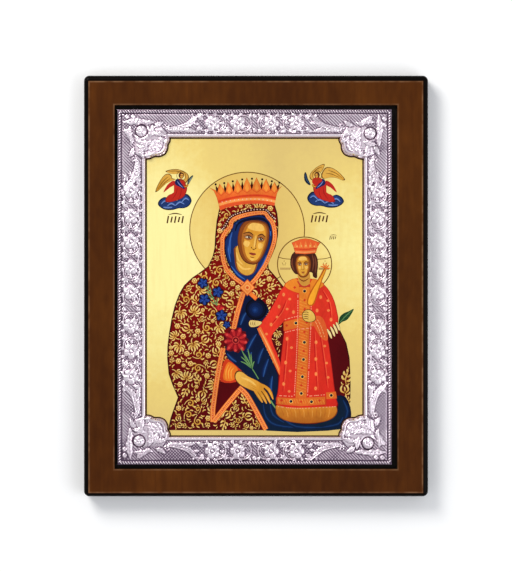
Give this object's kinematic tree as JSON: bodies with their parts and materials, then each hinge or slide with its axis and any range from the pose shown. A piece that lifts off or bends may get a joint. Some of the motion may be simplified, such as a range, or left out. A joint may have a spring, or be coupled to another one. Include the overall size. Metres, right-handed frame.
{
  "type": "icon panel",
  "caption": "Wooden panel with a recess that holds a gilded, painted picture plate under an embossed silver frame with a rope edge, vine scrolls and corner cartouches.",
  "frame": {"origin": "middle of the board's underside; the panel lies on its back", "axes": "+Z out of the picture's face, +Y towards the top of the picture, +X to the picture's right"},
  "size_m": [0.22, 0.269, 0.0175],
  "materials": {
    "walnut": "satin varnished walnut stain, with the edges and the recess painted black",
    "painted_gilding": "gold leaf ground with a picture painted on it",
    "silver": "embossed silver sheet, bright on the high places, with a dark purplish patina in the low ones"
  },
  "bodies": {
    "root": {"board": "walnut", "picture_plate": "painted_gilding", "silver_frame": "silver"}
  },
  "joints": []
}
